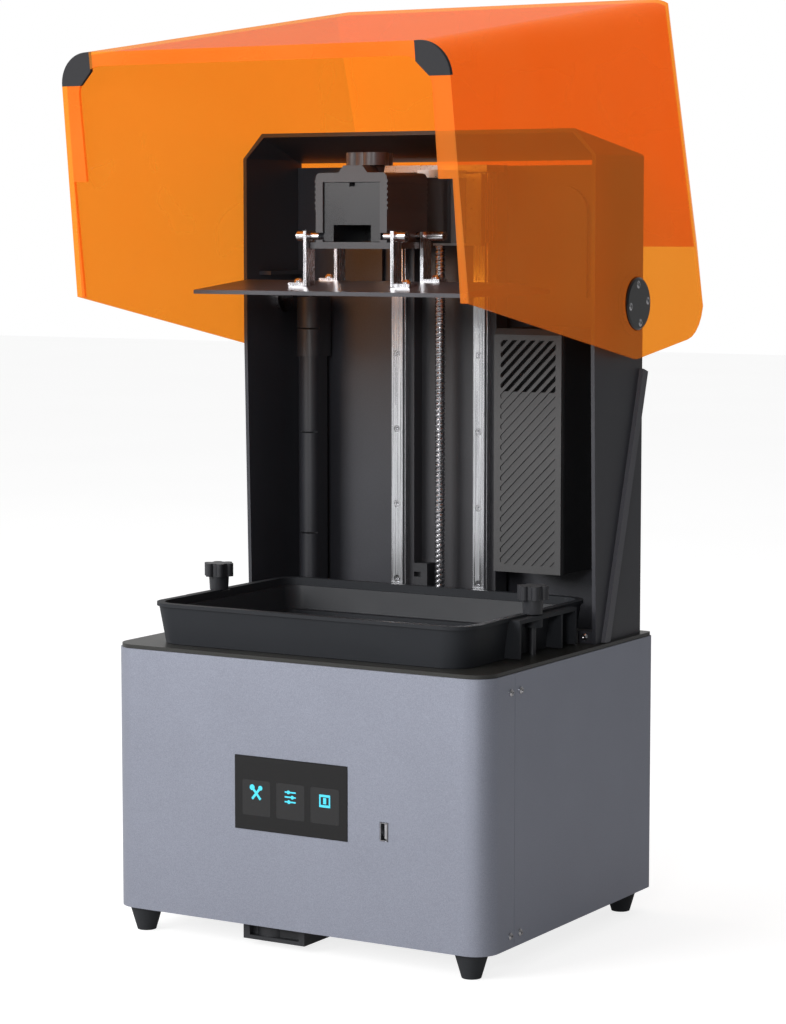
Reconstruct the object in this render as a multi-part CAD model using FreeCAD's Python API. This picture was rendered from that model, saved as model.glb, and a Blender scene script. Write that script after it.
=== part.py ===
"""Desktop resin 3-D printer: metal base, rear tower, lift axis, resin vat and flip-up cover.

Frame: +X to the user's right, +Y to the rear, +Z up, origin on the floor under the middle of the base.
The cover is stored open and the build plate is stored raised. All sizes are in millimetres.
"""
import FreeCAD, Part
import math
import os

os.makedirs("parts", exist_ok=True)
V = FreeCAD.Vector

# ---------------------------------------------------------------- driving dimensions
BASE_W = 325.0            # across the base
BASE_D = 268.6            # front to back
FOOT_H = 18.8
PANEL_TOP = 217.9         # top of the sheet-metal sides
DECK_TOP = 220.8          # top of the black deck
FRONT_R = 18.3            # rounded front corners of the base
REAR_R = 6.0
SHEET = 2.0               # base panel thickness
SEAM_Y = -92.2            # joint between the front panel and the rear shell

TOWER_HW = 156.8          # half width of the rear tower
TOWER_FRONT = 40.0        # front edge of the hood
TOWER_FOOT = 45.5         # front edge of the tower where it meets the deck
TOWER_REAR = 121.4
TOWER_WALL = 3.0
HOOD_TOP = 607.6
HOOD_SHOULDER = 588.0     # where the sides end and the roof chamfers begin
HOOD_TOP_HW = 139.0       # half width of the flat roof
HEM_TOP = 447.0           # the front edge leans back below this height

HINGE_Y = 91.2            # cover hinge axis
HINGE_Z = 476.6
LID_OPEN = 82.5           # angle between the closed and the stored cover
LID_WALL = 2.5
LID_FRONT = -127.5        # closed cover, outer front face at its lower edge
LID_BOTTOM = DECK_TOP + 0.4
LID_HW = 162.2            # closed cover, outer half width at its front
LID_FLARE = 0.022         # the sides spread towards the rear
LID_ROOF_R = 145.6        # the roof stays this far from the hinge axis to clear the hood
LID_SLOPE = math.atan(0.1698)

VAT_HW = 138.0
VAT_FRONT = -120.5
VAT_REAR = 74.0
VAT_TOP = 252.0
VAT_FOOT = DECK_TOP + 0.3
VAT_R = 20.0
KNOB_X = 139.5            # axis of the two knobs that hold the vat down
EAR_X = 147.0
EAR_FRONT, EAR_REAR = -57.0, 33.0
WORK_Y = -23.0            # centre of the light window, the vat and the build plate

PLATE_HW = 117.8
PLATE_FRONT = -86.5
PLATE_REAR = 42.5
PLATE_Z = 484.3           # underside of the raised build plate
PLATE_RIM = 3.0
PLATE_RIDGE = 6.5         # the top rises to a ridge so that resin runs off

AXIS_Y = 82.0             # lead screw axis
AXIS_FOOT = DECK_TOP + 1.0
AXIS_TOP = 582.0
CHANNEL_HW = 48.0
SCREW_R = 4.0
CLEAR = 0.3               # gap between moving neighbours
RUN = 0.05                # radial clearance of a running fit


# ---------------------------------------------------------------- helpers
def box(x0, x1, y0, y1, z0, z1):
    return Part.makeBox(x1 - x0, y1 - y0, z1 - z0, V(x0, y0, z0))


def cyl(r, h, at, axis=(0, 0, 1)):
    return Part.makeCylinder(r, h, V(*at), V(*axis))


def tube(r_out, r_in, h, at, axis=(0, 0, 1)):
    return cyl(r_out, h, at, axis).cut(cyl(r_in, h, at, axis))


def cone(r0, r1, h, at, axis=(0, 0, 1)):
    return Part.makeCone(r0, r1, h, V(*at), V(*axis))


def prism(points, along):
    """Solid from a closed outline of 3-D points, pushed along a vector."""
    wire = Part.makePolygon([V(*p) for p in points] + [V(*points[0])])
    return Part.Face(wire).extrude(V(*along))


def side_prism(outline, x0, x1):
    """Outline given as (y, z) points, extruded across X."""
    return prism([(x0, y, z) for y, z in outline], (x1 - x0, 0, 0))


def front_prism(outline, y0, y1):
    """Outline given as (x, z) points, extruded along Y."""
    return prism([(x, y0, z) for x, z in outline], (0, y1 - y0, 0))


def rounded(x0, x1, y0, y1, z0, z1, radii):
    """Box with vertical corner radii (front left, front right, rear right, rear left)."""
    solid = box(x0, x1, y0, y1, z0, z1)
    corners = [(x0, y0), (x1, y0), (x1, y1), (x0, y1)]
    for (cx, cy), radius in zip(corners, radii):
        if radius <= 0:
            continue
        for edge in solid.Edges:
            a, b = edge.Vertexes[0].Point, edge.Vertexes[-1].Point
            upright = abs(a.x - b.x) + abs(a.y - b.y) < 1e-6
            if upright and abs(a.x - cx) + abs(a.y - cy) < 1e-6:
                solid = solid.makeFillet(radius, [edge])
                break
    return solid


def fuse(shapes):
    solid = shapes[0].multiFuse(shapes[1:]) if len(shapes) > 1 else shapes[0]
    return solid.removeSplitter()


def cut(shape, tools):
    return shape.cut(Part.makeCompound(tools)) if tools else shape


def mirrored(shape):
    return shape.mirror(V(0, 0, 0), V(1, 0, 0))


def both_sides(shape):
    return Part.makeCompound([shape, mirrored(shape)])


def half_space(point, normal):
    """Large solid on the outer side of a plane, used to trim a body."""
    size = 1400.0
    block = Part.makeBox(size, size, size, V(-size / 2, -size / 2, 0))
    n = V(*normal).normalize()
    block.Placement = FreeCAD.Placement(V(*point), FreeCAD.Rotation(V(0, 0, 1), n))
    return block


def button_screw(at, axis, head_r=2.7, head_h=1.9, shank_r=1.5, shank_h=5.0, hex_r=1.1):
    """Button-head screw: the head stands out along axis, the shank goes the other way."""
    a = V(*axis).normalize()
    base = V(*at)
    head = Part.makeCylinder(head_r, head_h * 0.45, base, a)
    dome = Part.makeCone(head_r, head_r * 0.62, head_h * 0.55, base + a * (head_h * 0.45), a)
    shank = Part.makeCylinder(shank_r, shank_h, base - a * shank_h, a)
    socket = Part.makeCylinder(hex_r, head_h * 0.6, base + a * (head_h * 0.4), a)
    return fuse([head, dome, shank]).cut(socket)


def opened(shape):
    """Turn a cover part from closed to its stored, open place."""
    shape = shape.copy()
    shape.rotate(V(0, HINGE_Y, HINGE_Z), V(1, 0, 0), -LID_OPEN)
    return shape


NODES = {}


def keep(name, shape):
    NODES[name] = shape


def foot_screw(side):
    """Screw through one of the two blocks that hold the front of the tower down."""
    return button_screw((side * 146, TOWER_FOOT + 2.98, DECK_TOP + 4.8), (0, -1, 0), shank_h=4)


# ---------------------------------------------------------------- base
SCREEN = (-50.4, 47.9, 90.7, 146.2)       # x0, x1, z0, z1 of the touch screen
USB_X, USB_Z = 78.6, 101.5
HALF_W, HALF_D = BASE_W / 2, BASE_D / 2
SEAM_SCREW_Y = (-98.7, -84.1)
SEAM_SCREW_Z = (28.0, 204.7)
INLET_X, SWITCH_X, REAR_PORT_Z = 112.0, 70.0, 52.0
ROCKER_PIN_R, ROCKER_PIN_HALF = 1.2, 5.8
FAN_X, FAN_Z, FAN_R = -70.0, 110.0, 38.0


def base_box(inset, z0, z1):
    corners = (FRONT_R - inset, FRONT_R - inset, max(REAR_R - inset, 1), max(REAR_R - inset, 1))
    return rounded(-HALF_W + inset, HALF_W - inset, -HALF_D + inset, HALF_D - inset, z0, z1, corners)


def make_base():
    shell = base_box(0, FOOT_H, PANEL_TOP).cut(base_box(SHEET, FOOT_H - 1, PANEL_TOP + 1))
    front = shell.common(box(-200, 200, -200, SEAM_Y - 0.15, 0, 300))
    rear = shell.common(box(-200, 200, SEAM_Y + 0.15, 200, 0, 300))
    screw_holes = []
    for y in SEAM_SCREW_Y:
        for z in SEAM_SCREW_Z:
            screw_holes.append(cyl(1.6, BASE_W + 20, (-HALF_W - 10, y, z), (1, 0, 0)))
    x0, x1, z0, z1 = SCREEN
    window = box(x0, x1, -HALF_D - 1, -HALF_D + SHEET + 1, z0, z1)
    usb = box(USB_X - 3.6, USB_X + 3.6, -HALF_D - 1, -HALF_D + SHEET + 1, USB_Z - 7, USB_Z + 7)
    keep("base_front_panel", cut(front, screw_holes + [window, usb]))

    vents = []
    for row in range(9):
        z = 60 + row * 9
        vents.append(box(-HALF_W - 4, -HALF_W + 4, 20, 85, z, z + 3))
    for row in range(7):
        vents.append(box(20, 110, HALF_D - 4, HALF_D + 4, 120 + row * 9, 123 + row * 9))
    inlet = box(INLET_X - 13.6, INLET_X + 13.6, HALF_D - 4, HALF_D + 4, REAR_PORT_Z - 10, REAR_PORT_Z + 10)
    switch = box(SWITCH_X - 9.6, SWITCH_X + 9.6, HALF_D - 4, HALF_D + 4, REAR_PORT_Z - 6.6, REAR_PORT_Z + 6.6)
    grille = []
    for ring in range(5):
        r = 8 + ring * 7
        count = 6 + ring * 6
        for i in range(count):
            a = 2 * math.pi * i / count
            at = (FAN_X + r * math.cos(a), HALF_D - 4, FAN_Z + r * math.sin(a))
            grille.append(cyl(2.2, 8, at, (0, 1, 0)))
    keep("base_rear_shell", cut(rear, screw_holes + vents + grille + [inlet, switch]))

    inner = SHEET + 0.2
    floor = base_box(inner, FOOT_H, FOOT_H + 2)
    floor_holes = [box(-49, -1, -122, -76, 0, 40)]
    for row in range(8):
        y = -40 + row * 10
        floor_holes.append(box(-60, 60, y, y + 4, 0, 40))
    flange = base_box(inner, FOOT_H, FOOT_H + 14).cut(base_box(inner + 1.6, FOOT_H - 1, FOOT_H + 20))
    keep("base_floor", cut(fuse([floor, flange]), floor_holes + screw_holes))

    screws = []
    for side in (-1, 1):
        for y in SEAM_SCREW_Y:
            for z in SEAM_SCREW_Z:
                screws.append(button_screw((side * (HALF_W + 0.02), y, z), (side, 0, 0)))
        screws.append(foot_screw(side))
    keep("case_screws", Part.makeCompound(screws))

    feet = []
    for x in (-142.5, 142.5):
        for y in (-119.0, 120.0):
            foot = cone(7.2, 12.3, FOOT_H - 1.5, (x, y, 0))
            cap = cyl(12.3, 1.5, (x, y, FOOT_H - 1.5))
            feet.append(fuse([foot, cap]).cut(cyl(2.6, FOOT_H - 6, (x, y, -0.5))))
    keep("feet", Part.makeCompound(feet))

    duct = box(-51, 3, -123, -70, 5.0, FOOT_H - 0.1)
    duct = duct.cut(box(-45.5, -2, -124, -76, 8.0, FOOT_H + 1))
    ring = tube(14, 11.5, 12, (-31.5, -108, 5.0))
    louvres = [box(-45.6, -1.9, y, y + 1.6, 8.0, 15.0) for y in (-118, -92, -84)]
    keep("fan_duct", fuse([duct, ring] + louvres))


def make_deck():
    deck = base_box(1.0, PANEL_TOP + 0.1, DECK_TOP)
    lip = base_box(SHEET + 0.4, PANEL_TOP - 4.0, PANEL_TOP + 0.1)
    lip = lip.cut(base_box(SHEET + 2.4, PANEL_TOP - 5.0, PANEL_TOP + 1.0))
    window = rounded(-121, 121, WORK_Y - 74, WORK_Y + 74, 200, 240, (4, 4, 4, 4))
    motor = cyl(12.0, 40, (0, AXIS_Y, 200))
    duct = box(-126, -112, 86, 100, 200, 240)
    studs = [cyl(2.5 + RUN, 40, (x, WORK_Y, 200)) for x in (-KNOB_X, KNOB_X)]
    # shallow moulded step that frames the vat seat
    seat = rounded(-128, 128, WORK_Y - 84, WORK_Y + 84, DECK_TOP - 0.8, DECK_TOP + 1, (8, 8, 8, 8))
    keep("top_deck", cut(fuse([deck, lip]), [window, motor, duct, seat] + studs))


def make_front_controls():
    x0, x1, z0, z1 = SCREEN
    y = -HALF_D
    glass = box(x0 + 0.3, x1 - 0.3, y - 0.5, y + 1.3, z0 + 0.3, z1 - 0.3)
    keep("touch_screen", glass)
    board = box(x0 - 4, x1 + 4, y + 4.6, y + 6.2, z0 - 3, z1 + 3)
    module = box(x0 + 1, x1 - 1, y + 1.4, y + 4.5, z0 + 1, z1 - 1)
    keep("screen_module", fuse([module, board.fuse(box(x0 + 1, x1 - 1, y + 4.4, y + 4.7, z0 + 1, z1 - 1))]))
    shell = box(USB_X - 3.0, USB_X + 3.0, y - 0.4, y + 14, USB_Z - 6.6, USB_Z + 6.6)
    shell = shell.cut(box(USB_X - 2.6, USB_X + 2.6, y - 1, y + 12.5, USB_Z - 6.2, USB_Z + 6.2))
    tongue = box(USB_X - 0.2, USB_X + 1.6, y + 1.2, y + 12.8, USB_Z - 5.4, USB_Z + 5.4)
    keep("usb_port", fuse([shell, tongue]))


def make_light_engine():
    lcd = rounded(-119, 119, WORK_Y - 72, WORK_Y + 72, DECK_TOP - 2.0, DECK_TOP - 0.2, (3, 3, 3, 3))
    keep("lcd_panel", lcd)
    glass = rounded(-118, 118, WORK_Y - 71, WORK_Y + 71, DECK_TOP - 0.2, DECK_TOP + 2.0, (4, 4, 4, 4))
    keep("lcd_glass", glass)
    carrier = rounded(-124, 124, WORK_Y - 77, WORK_Y + 77, PANEL_TOP - 6.0, DECK_TOP - 3.1, (5, 5, 5, 5))
    carrier = carrier.cut(box(-112, 112, WORK_Y - 64, WORK_Y + 64, 200, 230))
    rim = rounded(-120, 120, WORK_Y - 73, WORK_Y + 73, DECK_TOP - 3.2, DECK_TOP - 2.1, (3, 3, 3, 3))
    rim = rim.cut(box(-112, 112, WORK_Y - 64, WORK_Y + 64, 200, 230))
    keep("lcd_carrier", fuse([carrier, rim]))

    top, bottom = PANEL_TOP - 6.3, 92.0
    outer = box(-112, 112, WORK_Y - 66, WORK_Y + 66, bottom, top)
    inner = box(-109, 109, WORK_Y - 63, WORK_Y + 63, bottom + 3, top + 1)
    port = box(-60, 60, WORK_Y - 45, WORK_Y + 45, bottom - 1, bottom + 4)
    keep("light_engine_case", cut(outer, [inner, port]))
    lens = box(-108.8, 108.8, WORK_Y - 62.8, WORK_Y + 62.8, top - 12, top - 9)
    keep("collimating_lens", lens)
    board = box(-66, 66, WORK_Y - 51, WORK_Y + 51, bottom - 1.8, bottom - 0.2)
    leds = []
    for i in range(9):
        for j in range(6):
            x = -48 + i * 12
            y = WORK_Y - 30 + j * 12
            leds.append(cone(3.4, 2.4, 3.0, (x, y, bottom - 0.25)))
    keep("led_board", fuse([board] + leds))
    sink = [box(-66, 66, WORK_Y - 51, WORK_Y + 51, bottom - 6.0, bottom - 1.9)]
    for i in range(17):
        x = -64.0 + i * 7.9
        sink.append(box(x, x + 1.8, WORK_Y - 51, WORK_Y + 51, bottom - 30, bottom - 5.9))
    keep("heat_sink", fuse(sink))


def fan_housing(half, depth, bore, hub_r):
    """Square fan frame centred on the origin, open along Z, with three spider arms."""
    frame = rounded(-half, half, -half, half, 0, depth, (4, 4, 4, 4)).cut(cyl(bore, depth + 2, (0, 0, -1)))
    arms = [cyl(hub_r, 2.0, (0, 0, 0))]
    for i in range(3):
        arm = box(0, bore + 1, -1.5, 1.5, 0, 2.0)
        arm.rotate(V(0, 0, 0), V(0, 0, 1), 120 * i + 30)
        arms.append(arm)
    pin = cyl(1.5, depth - 3.0, (0, 0, 0))
    return fuse([frame] + arms + [pin])


def fan_rotor(tip, depth, hub_r, blades=7):
    """Rotor centred on the origin that runs on the housing's pin."""
    parts = [cyl(hub_r, depth - 4.5, (0, 0, 2.6))]
    for i in range(blades):
        blade = box(hub_r - 1, tip, -0.9, 0.9, -(depth - 8) / 2, (depth - 8) / 2)
        blade.rotate(V(0, 0, 0), V(1, 0, 0), 38)
        blade = blade.common(tube(tip, hub_r - 1, depth, (0, 0, -depth / 2)))
        blade.translate(V(0, 0, depth / 2))
        blade.rotate(V(0, 0, 0), V(0, 0, 1), 360.0 / blades * i)
        parts.append(blade)
    bore = cyl(1.5 + RUN, depth - 3.0 + CLEAR, (0, 0, 0))
    return fuse(parts).cut(bore)


def place_fan(shape, at, axis):
    shape = shape.copy()
    shape.Placement = FreeCAD.Placement(V(*at), FreeCAD.Rotation(V(0, 0, 1), V(*axis)))
    return shape


def make_electrics():
    fan_at = (FAN_X, HALF_D - SHEET - 0.3, FAN_Z)
    keep("exhaust_fan_frame", place_fan(fan_housing(40, 20, 37.5, 14), fan_at, (0, -1, 0)))
    keep("exhaust_fan_rotor", place_fan(fan_rotor(36.5, 20, 13), fan_at, (0, -1, 0)))

    inlet = box(INLET_X - 13.2, INLET_X + 13.2, HALF_D - 22, HALF_D + 0.2, REAR_PORT_Z - 9.6, REAR_PORT_Z + 9.6)
    plate = box(INLET_X - 24, INLET_X + 24, HALF_D + 0.1, HALF_D + 2.4, REAR_PORT_Z - 12, REAR_PORT_Z + 12)
    socket = rounded(-12, 12, -7.8, 7.8, 0, 17.5, (4, 4, 1, 1))
    socket.Placement = FreeCAD.Placement(V(INLET_X, HALF_D + 3, REAR_PORT_Z),
                                         FreeCAD.Rotation(V(1, 0, 0), 90))
    holes = [cyl(1.8, 10, (INLET_X + dx, HALF_D - 2, REAR_PORT_Z), (0, 1, 0)) for dx in (-20, 20)]
    pins = []
    for dx, dz in ((-6, -1.5), (0, 2.5), (6, -1.5)):
        pins.append(box(INLET_X + dx - 1, INLET_X + dx + 1, HALF_D - 15.5, HALF_D - 3,
                        REAR_PORT_Z + dz - 2, REAR_PORT_Z + dz + 2))
    keep("power_inlet", fuse([cut(fuse([inlet, plate]), [socket] + holes)] + pins))

    bezel = box(SWITCH_X - 11, SWITCH_X + 11, HALF_D + 0.1, HALF_D + 1.8, REAR_PORT_Z - 8, REAR_PORT_Z + 8)
    body = box(SWITCH_X - 9.2, SWITCH_X + 9.2, HALF_D - 16, HALF_D + 0.2, REAR_PORT_Z - 6.2, REAR_PORT_Z + 6.2)
    well = box(SWITCH_X - 8.2, SWITCH_X + 8.2, HALF_D - 6, HALF_D + 3, REAR_PORT_Z - 5.2, REAR_PORT_Z + 5.2)
    pin_hole = cyl(ROCKER_PIN_R + RUN, 2 * ROCKER_PIN_HALF + 0.4,
                   (SWITCH_X, HALF_D - 1, REAR_PORT_Z - ROCKER_PIN_HALF - 0.2))
    keep("switch_body", cut(fuse([bezel, body]), [well, pin_hole]))
    rocker = prism([(SWITCH_X - 7.6, HALF_D - 2.2, REAR_PORT_Z - 4.8),
                    (SWITCH_X, HALF_D - 3.4, REAR_PORT_Z - 4.8),
                    (SWITCH_X + 7.6, HALF_D - 2.2, REAR_PORT_Z - 4.8),
                    (SWITCH_X + 7.6, HALF_D + 2.6, REAR_PORT_Z - 4.8),
                    (SWITCH_X, HALF_D + 1.2, REAR_PORT_Z - 4.8),
                    (SWITCH_X - 7.6, HALF_D + 2.6, REAR_PORT_Z - 4.8)], (0, 0, 9.6))
    rocker.rotate(V(SWITCH_X, HALF_D - 1, REAR_PORT_Z), V(0, 0, 1), 6)
    pin = cyl(ROCKER_PIN_R, 2 * ROCKER_PIN_HALF,
              (SWITCH_X, HALF_D - 1, REAR_PORT_Z - ROCKER_PIN_HALF))
    keep("power_rocker", fuse([rocker, pin]))

    supply = box(60, 150, -20, 90, FOOT_H + 2.4, FOOT_H + 42)
    slots = [box(70 + i * 9, 74 + i * 9, -10, 80, FOOT_H + 40, FOOT_H + 44) for i in range(8)]
    keep("power_supply", cut(supply, slots))
    board = box(-148, -75, -60, 70, FOOT_H + 8, FOOT_H + 9.6)
    chips = [box(-132, -112, -30, -10, FOOT_H + 9.5, FOOT_H + 12),
             box(-100, -86, -34, -20, FOOT_H + 9.5, FOOT_H + 11),
             box(-140, -124, 30, 62, FOOT_H + 9.5, FOOT_H + 18),
             box(-104, -80, 34, 62, FOOT_H + 9.5, FOOT_H + 22)]
    posts = [cyl(3, 5.5, (x, y, FOOT_H + 2.5)) for x in (-144, -79) for y in (-56, 66)]
    keep("mainboard", fuse([board] + chips + posts))


# ---------------------------------------------------------------- tower
def tower_outline(inset):
    w, t = TOWER_HW - inset, HOOD_TOP_HW - inset * 0.6
    return [(-w, DECK_TOP + 0.1), (w, DECK_TOP + 0.1), (w, HOOD_SHOULDER),
            (t, HOOD_TOP - inset), (-t, HOOD_TOP - inset), (-w, HOOD_SHOULDER)]


def tower_side(y_front, y_rear, drop):
    """Side outline: leaning lower front edge, upright hood, roof falling to the rear."""
    return [(y_front + TOWER_FOOT - TOWER_FRONT, DECK_TOP + 0.1), (y_rear, DECK_TOP + 0.1),
            (y_rear, HOOD_SHOULDER + 1.5 - drop), (y_front, HOOD_TOP - drop), (y_front, HEM_TOP)]


def make_tower():
    outer = front_prism(tower_outline(0), -10, 200)
    outer = outer.common(side_prism(tower_side(TOWER_FRONT, TOWER_REAR, 0), -200, 200))
    inner = front_prism([(x, z if z > 300 else 200) for x, z in tower_outline(TOWER_WALL)], -10, 200)
    hollow = side_prism([(0, 200), (TOWER_REAR + 5, 200), (TOWER_REAR + 5, HOOD_SHOULDER - TOWER_WALL - 0.5),
                         (TOWER_FRONT, HOOD_TOP - TOWER_WALL), (0, HOOD_TOP - TOWER_WALL)], -200, 200)
    shell = outer.cut(inner.common(hollow))
    blocks = []
    for side in (-1, 1):
        x0, x1 = sorted((side * 140, side * (TOWER_HW - 1)))
        block = box(x0, x1, TOWER_FOOT + 3, TOWER_FOOT + 15, DECK_TOP + 0.1, DECK_TOP + 9)
        blocks.append(block.cut(foot_screw(side)))
    ledge = both_sides(box(-TOWER_HW + TOWER_WALL - 0.2, -TOWER_HW + 14, 58, TOWER_REAR - 6.4, 496, 499))
    pin_holes = [cyl(6.0, 20, (s * 150, HINGE_Y, HINGE_Z), (s, 0, 0)) for s in (-1, 1)]
    keep("tower_shell", cut(fuse([shell] + ledge.Solids + blocks), pin_holes))

    w = TOWER_HW - TOWER_WALL - CLEAR
    back = box(-w, w, TOWER_REAR - 6.0, TOWER_REAR - 3.0, DECK_TOP + 0.2, HOOD_SHOULDER - TOWER_WALL - 3)
    vents = [box(72, 111, 100, TOWER_REAR, 300 + row * 10, 304 + row * 10) for row in range(10)]
    bulges = [box(70, 113, 111.3, TOWER_REAR - 5.9, 290, 440)]
    for x, width in ((-92, 42), (92, 42)):
        top = cyl(width / 2, 4.0, (x, TOWER_REAR - 9.9, 545), (0, 1, 0))
        arch = box(x - width / 2, x + width / 2, TOWER_REAR - 9.9, TOWER_REAR - 5.9, 480, 545)
        bulges += [top, arch]
    keep("tower_back_cover", cut(fuse([back] + bulges), vents))

    lean = math.atan2(113.7 - 51.5, 426.5 - 221.6)
    strip = box(TOWER_HW, TOWER_HW + 3.4, 0, 8.6, 0, 214)
    strip.rotate(V(0, 0, 0), V(1, 0, 0), -math.degrees(lean))
    strip.translate(V(0, 54.6, DECK_TOP + 0.6))
    strip = strip.common(box(0, 200, -200, 200, DECK_TOP + 0.2, 430))
    keep("seal_strips", both_sides(strip))

    run = rounded(-136, -119, 84, 106, DECK_TOP + 0.2, 430, (8, 8, 2, 2))
    upper = rounded(-138, -117, 82, 108, 430, 478, (10, 10, 2, 2))
    grooves = [box(-140, -115, 80, 90, z, z + 1.2) for z in (286, 368, 452)]
    keep("cable_conduit", cut(fuse([run, upper]), grooves))


# ---------------------------------------------------------------- lift axis
RAIL_X = 37.0
RAIL_SCREW_PITCH = 59.7


def make_lift_axis():
    back = box(-CHANNEL_HW, CHANNEL_HW, AXIS_Y + 16, AXIS_Y + 22, AXIS_FOOT, AXIS_TOP)
    walls = [box(s * RAIL_X - 11, s * RAIL_X + 11, AXIS_Y + 4, AXIS_Y + 17, AXIS_FOOT, AXIS_TOP - 5.5)
             for s in (-1, 1)]
    foot = box(-CHANNEL_HW, CHANNEL_HW, AXIS_Y - 6, AXIS_Y + 22, DECK_TOP + 0.1, AXIS_FOOT + 6)
    screw_way = cyl(12.5, 40, (0, AXIS_Y, 210))
    keep("z_frame", fuse([back, foot] + walls).cut(screw_way))

    rails, rail_screws = [], []
    for side in (-1, 1):
        rail = box(side * RAIL_X - 5, side * RAIL_X + 5, AXIS_Y - 4, AXIS_Y + 3.9, 234, 576)
        grooves = [cyl(1.2, 400, (side * RAIL_X + dx, AXIS_Y, 220)) for dx in (-5, 5)]
        z = 255.7
        holes = []
        while z < 570:
            holes.append(cyl(2.9, 3.0, (side * RAIL_X, AXIS_Y - 5, z), (0, 1, 0)))
            rail_screws.append(tube(2.7, 1.2, 1.4, (side * RAIL_X, AXIS_Y - 3.6, z), (0, 1, 0)))
            z += RAIL_SCREW_PITCH
        rails.append(cut(rail, grooves + holes))
    keep("linear_rails", Part.makeCompound(rails))
    keep("rail_screws", Part.makeCompound(rail_screws))

    top = box(-CHANNEL_HW, CHANNEL_HW, AXIS_Y - 12, AXIS_Y + 15.9, AXIS_TOP - 5.4, AXIS_TOP)
    keep("top_bearing_block", top.cut(cyl(SCREW_R + RUN, 30, (0, AXIS_Y, AXIS_TOP - 20))))
    thread = cyl(SCREW_R, 372, (0, AXIS_Y, AXIS_TOP - 374))
    journal = cyl(2.5, 14, (0, AXIS_Y, AXIS_TOP - 388))
    coupler = cyl(9.5, 26, (0, AXIS_Y, 176))
    shaft = cyl(2.5, 8, (0, AXIS_Y, 168.4))
    keep("lead_screw", fuse([thread, journal]).common(box(-20, 20, 0, 200, 202.1, 700)))
    keep("shaft_coupler", fuse([coupler, shaft]))
    motor = rounded(-21, 21, AXIS_Y - 21, AXIS_Y + 21, 124, 168, (4, 4, 4, 4))
    keep("z_motor", motor.cut(cyl(2.6, 6, (0, AXIS_Y, 164))))
    bracket = box(-26, 26, AXIS_Y - 24, AXIS_Y + 24, 168.2, 171.2).cut(cyl(11, 20, (0, AXIS_Y, 160)))
    posts = [box(s * 26 - 1.5, s * 26 + 1.5, AXIS_Y - 24, AXIS_Y + 24, 168.2, PANEL_TOP - 4.2) for s in (-1, 1)]
    keep("motor_bracket", fuse([bracket] + posts))
    sensor = box(-CHANNEL_HW + 22, -CHANNEL_HW + 34, AXIS_Y + 4, AXIS_Y + 15.9, 250, 268)
    keep("limit_sensor", sensor.cut(box(-60, -20, AXIS_Y + 3, AXIS_Y + 9, 257, 261)))


# ---------------------------------------------------------------- carriage, arm and build plate
ARM_HW = 31.0
ARM_TOP = 574.6
ARM_BOTTOM = 518.4
SLEEVE_FRONT = -51.0
SLEEVE_REAR = 8.0
TONGUE_HW = 24.6
TONGUE_TOP = 567.4
TONGUE_BOTTOM = 523.6
KNOB_Y = -22.0
BRACKET_X = 38.0
BRACKET_Y = (-49.5, -6.0)


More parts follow.
